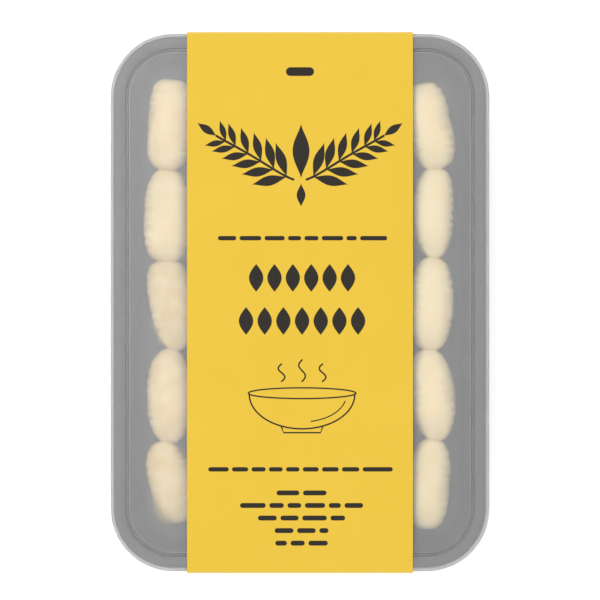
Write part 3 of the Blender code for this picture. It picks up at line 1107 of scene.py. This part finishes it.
def ink_stroke(bm, path, width, layer=0):
    """A line of ink of even width along a path, with rounded ends, in millimetres."""
    points = [Vector(p) for p in path]
    rows_left, rows_right = [], []
    for k, point in enumerate(points):
        before = points[max(k - 1, 0)]
        after = points[min(k + 1, len(points) - 1)]
        along = (after - before).normalized()
        side = Vector((-along.y, along.x)) * width / 2
        rows_left.append(ink_point(bm, *(point + side), layer))
        rows_right.append(ink_point(bm, *(point - side), layer))
    for k in range(len(points) - 1):
        bm.faces.new((rows_left[k], rows_right[k], rows_right[k + 1], rows_left[k + 1]))
    start = (points[0] - points[1]).normalized()
    end = (points[-1] - points[-2]).normalized()
    for centre, outward, first, last in (
        (points[-1], end, rows_right[-1], rows_left[-1]),
        (points[0], start, rows_left[0], rows_right[0]),
    ):
        cap = [ink_point(bm, *p, layer) for p in round_end(centre, outward, width)]
        bm.faces.new([first] + cap + [last])


def arc(x, y, wide, high, start, turn, sides):
    """Points on an ellipse about x, y, from one angle on through a turn, in degrees."""
    angles = [math.radians(start + turn * k / sides) for k in range(sides + 1)]
    return [(x + wide * math.cos(a), y + high * math.sin(a)) for a in angles]


def bar_points(x, y, width, height):
    """A bar with round ends."""
    radius = height / 2
    right = arc(x + width / 2 - radius, y, radius, radius, -90, 180, BAR_SIDES)
    left = arc(x - width / 2 + radius, y, radius, radius, 90, 180, BAR_SIDES)
    return right + left


def leaf_points(x, y, length, width, angle, pointed=1.35):
    """A leaf pointed at both ends, its stalk end at x, y."""
    shares = [k / LEAF_SIDES for k in range(LEAF_SIDES)]
    turn = math.radians(angle)
    points = []
    for share, side in [(t, -1) for t in shares] + [(1 - t, 1) for t in shares]:
        along = length * share
        out = side * width / 2 * math.sin(math.pi * share) ** pointed
        here_x = x + along * math.cos(turn) - out * math.sin(turn)
        here_y = y + along * math.sin(turn) + out * math.cos(turn)
        points.append((here_x, here_y))
    return points


def dash_row(bm, rng, x, y, width, height):
    """A row of dashes of uneven length that fills the width, as fine print reads from afar."""
    left = x - width / 2
    right = x + width / 2
    while left < right - height:
        dash = rng.uniform(SHORTEST_DASH, LONGEST_DASH) * height
        if right - left - dash < SHORTEST_DASH * height:
            dash = right - left
        ink_shape(bm, bar_points(left + dash / 2, y, dash, height))
        left += dash + height * DASH_SPACE


def sprig(bm, x, y, reach, side):
    """A leafy twig that leaves x, y and curves up and outwards."""
    path = []
    for k in range(SPRIG_SIDES + 1):
        t = k / SPRIG_SIDES
        path.append((x + side * reach * t, y + SPRIG_RISE * t**1.5 + SPRIG_BOW * math.sin(math.pi * t)))
    ink_stroke(bm, path, SPRIG_LINE, 2)
    for number, k in enumerate(SPRIG_LEAF_POINTS):
        here, onwards = path[k], path[k + 1]
        heading = math.degrees(math.atan2(onwards[1] - here[1], side * (onwards[0] - here[0])))
        size = SPRIG_LEAF - SPRIG_LEAF_LESS * number
        for lift in SPRIG_LEAF_ANGLES:
            angle = heading + lift
            if side < 0:
                angle = 180 - angle
            ink_shape(bm, leaf_points(*here, size, size * SPRIG_LEAF_WIDTH, angle), number % 2)
    angle = TIP_ANGLE if side > 0 else 180 - TIP_ANGLE
    ink_shape(bm, leaf_points(*path[-1], *TIP_LEAF, angle))


def bowl_drawing(bm, x, y):
    """A line drawing of a steaming bowl, with the middle of its rim at x, y, in millimetres."""
    ink_stroke(bm, arc(x, y, wide=21.0, high=2.1, start=0, turn=360, sides=48), 0.55)
    ink_stroke(bm, arc(x, y - 0.4, wide=20.6, high=13.5, start=180, turn=180, sides=32), 0.6, 1)
    foot = [(-8.0, -13.2), (-7.2, -15.4), (7.2, -15.4), (8.0, -13.2)]
    ink_stroke(bm, [(x + out, y + down) for out, down in foot], 0.55)
    ink_stroke(bm, arc(x, y - 0.8, wide=17.2, high=10.4, start=282, turn=65, sides=13), 0.45)
    for number in (-1, 0, 1):
        rise = 8.4 - 1.6 * abs(number)
        steam = []
        for k in range(17):
            t = k / 16
            steam.append((x + 8.0 * number + 1.3 * math.sin(math.tau * t), y + 4.6 + rise * t))
        ink_stroke(bm, steam, 0.6)


def make_print():
    """Plain ornaments and dashes in dark ink down the middle of the sleeve's top."""
    rng = np.random.default_rng(PRINT_SEED)
    bm = bmesh.new()
    ink_shape(bm, bar_points(*TOP_BAR))
    for side in (-1, 1):
        sprig(bm, side * SPRIG_FOOT[0], SPRIG_FOOT[1], SPRIG_REACH, side)
    for leaf in MIDDLE_LEAVES:
        ink_shape(bm, leaf_points(*leaf))
    dash_row(bm, rng, *UPPER_DASHES)
    leaf_length = ROW_LEAF[0]
    for count, y, width in LEAF_ROWS:
        for k in range(count):
            x = LEAF_ROWS_X + (k + 0.5) * width / count - width / 2
            ink_shape(bm, leaf_points(x, y - leaf_length / 2, *ROW_LEAF, 90, 1.0))
    bowl_drawing(bm, *BOWL_PLACE)
    dash_row(bm, rng, *LOWER_DASHES)
    for y, width in FINE_DASHES:
        dash_row(bm, rng, FINE_DASHES_X, y, width, FINE_DASH_HEIGHT)
    bmesh.ops.recalc_face_normals(bm, faces=bm.faces)
    for face in bm.faces:
        if face.normal.z < 0:
            face.normal_flip()
    ink = thicken(piece_from_bmesh("sleeve_print", bm, [DARK_INK]), INK_OVER + INK_UNDER)
    return hand_over(ink, "sleeve_card")


# Studio

FLOOR_REACH = 3.0
FLOOR_DROP = 0.0002

# Each soft light: name, place, size and power in watts. Then the light that comes from all round.
SOFT_LIGHTS = (
    ("light_upper_left", (-0.52, 0.42, 1.50), 1.25, 11.3),
    ("light_right", (0.90, 0.10, 1.25), 1.4, 1.8),
    ("light_lower", (0.0, -0.95, 1.2), 1.4, 2.6),
)
AIR_LIGHT = 0.66

# The picture's side in pixels, one pixel's size on the sleeve's top, and how many pixels the pack's
# middle lies below the picture's.
PICTURE_SIDE = 600
PIXEL = 0.3902 * MM
PACK_BELOW_MIDDLE = 2.5
CAMERA_HEIGHT = 1.6
CAMERA_SENSOR = 36.0
CAMERA_REACH = 10.0


def make_floor():
    bm = bmesh.new()
    bmesh.ops.create_grid(bm, x_segments=1, y_segments=1, size=FLOOR_REACH)
    floor = piece_from_bmesh("studio_floor", bm, [floor_material()])
    floor.location.z = -FLOOR_DROP


def soft_light(name, place, size, power):
    light = bpy.data.lights.new(name, "AREA")
    light.shape = "SQUARE"
    light.size = size
    light.energy = power
    lamp = bpy.data.objects.new(name, light)
    lamp.location = place
    lamp.rotation_euler = (-Vector(place)).to_track_quat("-Z", "Y").to_euler()
    lamp.visible_camera = False
    bpy.context.scene.collection.objects.link(lamp)


def make_studio():
    make_floor()
    for light in SOFT_LIGHTS:
        soft_light(*light)
    world = bpy.data.worlds.new("studio_air")
    world.use_nodes = True
    air = world.node_tree.nodes["Background"]
    set_inputs(world.node_tree, air, {"Color": FULL_WHITE, "Strength": AIR_LIGHT})
    scene = bpy.context.scene
    scene.world = world
    scene.view_settings.view_transform = "Standard"
    scene.view_settings.look = "None"


def make_camera():
    """Straight down, with the length of the pack upright in the picture."""
    camera = bpy.data.cameras.new("camera")
    camera.sensor_width = CAMERA_SENSOR
    camera.lens = CAMERA_SENSOR * (CAMERA_HEIGHT - SLEEVE_TOP) / (PICTURE_SIDE * PIXEL)
    camera.clip_end = CAMERA_REACH
    eye = bpy.data.objects.new("camera", camera)
    eye.location = (0.0, PACK_BELOW_MIDDLE * PIXEL, CAMERA_HEIGHT)
    bpy.context.scene.collection.objects.link(eye)
    bpy.context.scene.camera = eye


make_camera()
make_studio()
make_tray()
make_lid()
make_sleeve()
make_top_layer(np.random.default_rng(SEED))
make_lower_layer()
make_print()
